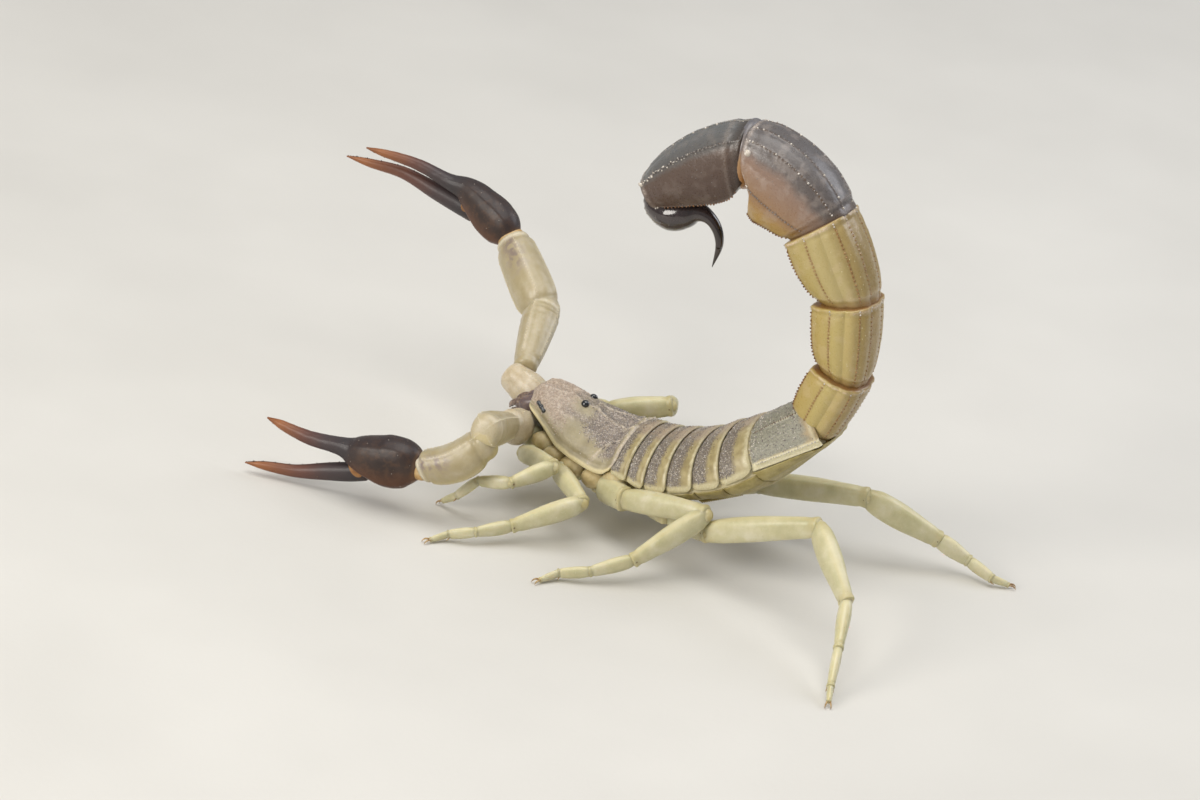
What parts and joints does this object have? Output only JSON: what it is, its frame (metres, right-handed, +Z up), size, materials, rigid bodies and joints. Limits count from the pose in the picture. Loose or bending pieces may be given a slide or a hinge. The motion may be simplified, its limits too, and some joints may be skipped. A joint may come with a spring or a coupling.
{
  "type": "desert scorpion",
  "caption": "Life-size still model of a thick-tailed desert scorpion on its feet, claws open and spread, tail arched over the back.",
  "frame": {"origin": "on the floor, under the middle of the model's bounding box", "axes": "+Z up, head faces -Y, the animal's left is +X"},
  "size_m": [0.0484, 0.08, 0.0459],
  "materials": {
    "carapace_shell": "finely granular olive-beige shell, semi matt",
    "eye_black": "black, glossy",
    "tergite_shell": "banded grey and olive back plates, finely granular",
    "tail_amber": "honey-olive keeled shell, satin",
    "tail_dark": "grey-brown keeled shell, satin",
    "sting_black": "black-brown, very glossy",
    "pale_cuticle": "pale greenish-cream smooth cuticle, slightly translucent",
    "jaw_mauve": "dark mauve-brown, satin",
    "palp_cuticle": "cream cuticle with mauve shading, satin",
    "chela_dark": "dark brown polished shell"
  },
  "bodies": {
    "root": {"carapace": "carapace_shell", "median_eye_left": "eye_black", "side_eyes_left": "eye_black", "median_eye_right": "eye_black", "side_eyes_right": "eye_black", "mesosoma_1": "tergite_shell", "mesosoma_2": "tergite_shell", "mesosoma_3": "tergite_shell", "mesosoma_4": "tergite_shell", "mesosoma_5": "tergite_shell", "mesosoma_6": "tergite_shell", "mesosoma_7": "tergite_shell", "metasoma_1": "tail_amber", "metasoma_2": "tail_amber", "metasoma_3": "tail_amber", "metasoma_4": "tail_dark", "metasoma_5": "tail_dark", "telson": "sting_black", "coxae": "pale_cuticle", "chelicera_left": "jaw_mauve", "pecten_left": "pale_cuticle", "chelicera_right": "jaw_mauve", "pecten_right": "pale_cuticle", "pedipalp_trochanter_left": "palp_cuticle", "pedipalp_femur_left": "palp_cuticle", "pedipalp_patella_left": "palp_cuticle", "pedipalp_hand_left": "chela_dark", "pedipalp_movable_finger_left": "chela_dark", "pedipalp_trochanter_right": "palp_cuticle", "pedipalp_femur_right": "palp_cuticle", "pedipalp_patella_right": "palp_cuticle", "pedipalp_hand_right": "chela_dark", "pedipalp_movable_finger_right": "chela_dark", "leg1_left_femur": "pale_cuticle", "leg1_left_patella": "pale_cuticle", "leg1_left_tarsus": "pale_cuticle", "leg2_left_femur": "pale_cuticle", "leg2_left_patella": "pale_cuticle", "leg2_left_tarsus": "pale_cuticle", "leg3_left_femur": "pale_cuticle", "leg3_left_patella": "pale_cuticle", "leg3_left_tarsus": "pale_cuticle", "leg4_left_femur": "pale_cuticle", "leg4_left_patella": "pale_cuticle", "leg4_left_tarsus": "pale_cuticle", "leg1_right_femur": "pale_cuticle", "leg1_right_patella": "pale_cuticle", "leg1_right_tarsus": "pale_cuticle", "leg2_right_femur": "pale_cuticle", "leg2_right_patella": "pale_cuticle", "leg2_right_tarsus": "pale_cuticle", "leg3_right_femur": "pale_cuticle", "leg3_right_patella": "pale_cuticle", "leg3_right_tarsus": "pale_cuticle", "leg4_right_femur": "pale_cuticle", "leg4_right_patella": "pale_cuticle", "leg4_right_tarsus": "pale_cuticle"}
  },
  "joints": []
}
